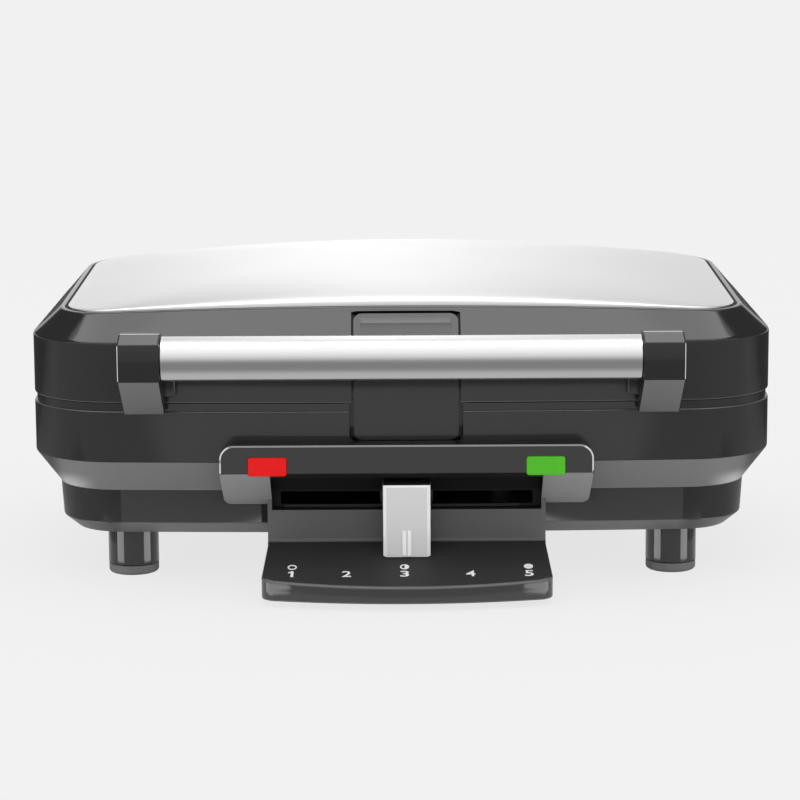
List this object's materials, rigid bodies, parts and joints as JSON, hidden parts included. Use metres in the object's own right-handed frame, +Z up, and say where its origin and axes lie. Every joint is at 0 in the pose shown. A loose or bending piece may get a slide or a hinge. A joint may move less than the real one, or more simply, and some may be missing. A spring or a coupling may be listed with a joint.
{
  "type": "belgian waffle maker",
  "caption": "Wide countertop waffle maker with a hinged lid, steel top, front bar handle, rocking latch, and a browning slider over a numbered shelf.",
  "frame": {"origin": "centre of the footprint, on the table under the rubber feet", "axes": "+X to the right of someone facing the front, +Y towards the hinges, +Z up"},
  "size_m": [0.394, 0.3012, 0.1631],
  "materials": {
    "gloss_black": "gloss black moulded plastic",
    "satin_black": "satin black moulded plastic",
    "brushed_steel": "brushed stainless steel, grain along X",
    "silver_paint": "silver painted plastic",
    "non_stick_cast": "cast aluminium with a dark non-stick coat",
    "bare_steel": "plain zinc-plated steel",
    "reflector_sheet": "bright sheet",
    "heater_sheath": "dark oxidised sheath",
    "ceramic": "unglazed ceramic look",
    "rubber": "grey-black rubber",
    "red_lens": "clear red",
    "green_lens": "clear green",
    "lamp_glass": "neon lamp glass",
    "wire_sleeve": "woven glass sleeve"
  },
  "bodies": {
    "base": {"base_bottom_cover": "satin_black", "base_shell": "gloss_black", "base_wire_loom": "wire_sleeve", "control_housing": "gloss_black", "cord_gland": "rubber", "foot_pad_front_left": "rubber", "foot_pad_front_right": "rubber", "foot_pad_rear_left": "rubber", "foot_pad_rear_right": "rubber", "foot_post_front_left": "gloss_black", "foot_post_front_right": "gloss_black", "foot_post_rear_left": "gloss_black", "foot_post_rear_right": "gloss_black", "hinge_bracket_left": "satin_black", "hinge_bracket_right": "satin_black", "hinge_pin_left": "bare_steel", "hinge_pin_right": "bare_steel", "latch_strike": "bare_steel", "lower_heater": "heater_sheath", "lower_plate": "non_stick_cast", "lower_plate_screw_front_left": "bare_steel", "lower_plate_screw_front_right": "bare_steel", "lower_plate_screw_rear_left": "bare_steel", "lower_plate_screw_rear_right": "bare_steel", "lower_reflector": "reflector_sheet", "power_lamp": "lamp_glass", "power_lens": "red_lens", "ready_lamp": "lamp_glass", "ready_lens": "green_lens", "thermal_fuse": "ceramic", "thermostat_body": "ceramic"},
    "lid": {"bracket_screw_left": "bare_steel", "bracket_screw_right": "bare_steel", "handle_bar": "brushed_steel", "handle_bracket_left": "satin_black", "handle_bracket_right": "satin_black", "handle_nut_left": "bare_steel", "handle_nut_right": "bare_steel", "handle_tie_rod": "bare_steel", "latch_pin": "bare_steel", "latch_spring": "bare_steel", "lid_cover": "brushed_steel", "lid_hinge_knuckle_left": "satin_black", "lid_hinge_knuckle_right": "satin_black", "lid_shell": "gloss_black", "upper_heater": "heater_sheath", "upper_plate": "non_stick_cast", "upper_plate_screw_front_left": "bare_steel", "upper_plate_screw_front_right": "bare_steel", "upper_plate_screw_rear_left": "bare_steel", "upper_plate_screw_rear_right": "bare_steel", "upper_reflector": "reflector_sheet"},
    "latch": {"latch_tab": "gloss_black"},
    "browning_slider": {"browning_knob": "silver_paint", "slider_carriage": "satin_black"},
    "thermostat_lever": {"thermostat_lever": "bare_steel", "thermostat_shaft": "bare_steel"}
  },
  "joints": [
    {"name": "lid_hinge", "type": "hinge", "parent": "base", "child": "lid", "pos_m": [0, 0.14558, 0.0975], "axis": [-1, 0, 0], "range_deg": [0, 100]},
    {"name": "latch_rocker", "type": "hinge", "parent": "lid", "child": "latch", "pos_m": [0.0024, -0.09383, 0.1263], "axis": [-1, 0, 0], "range_deg": [0, 8], "stiffness_Nm_per_rad": 0.3, "springref_deg": -5.73},
    {"name": "browning_slide", "type": "slide", "parent": "base", "child": "browning_slider", "axis": [1, 0, 0], "range_m": [-0.058, 0.058]},
    {"name": "thermostat_turn", "type": "hinge", "parent": "base", "child": "thermostat_lever", "pos_m": [0.0024, 0.03857, 0.045], "axis": [0, 0, 1], "range_deg": [-30.5, 30.5]}
  ],
  "couplings": [
    {"joint": "thermostat_turn", "follows": "browning_slide", "rad_per_m": 9.11}
  ]
}
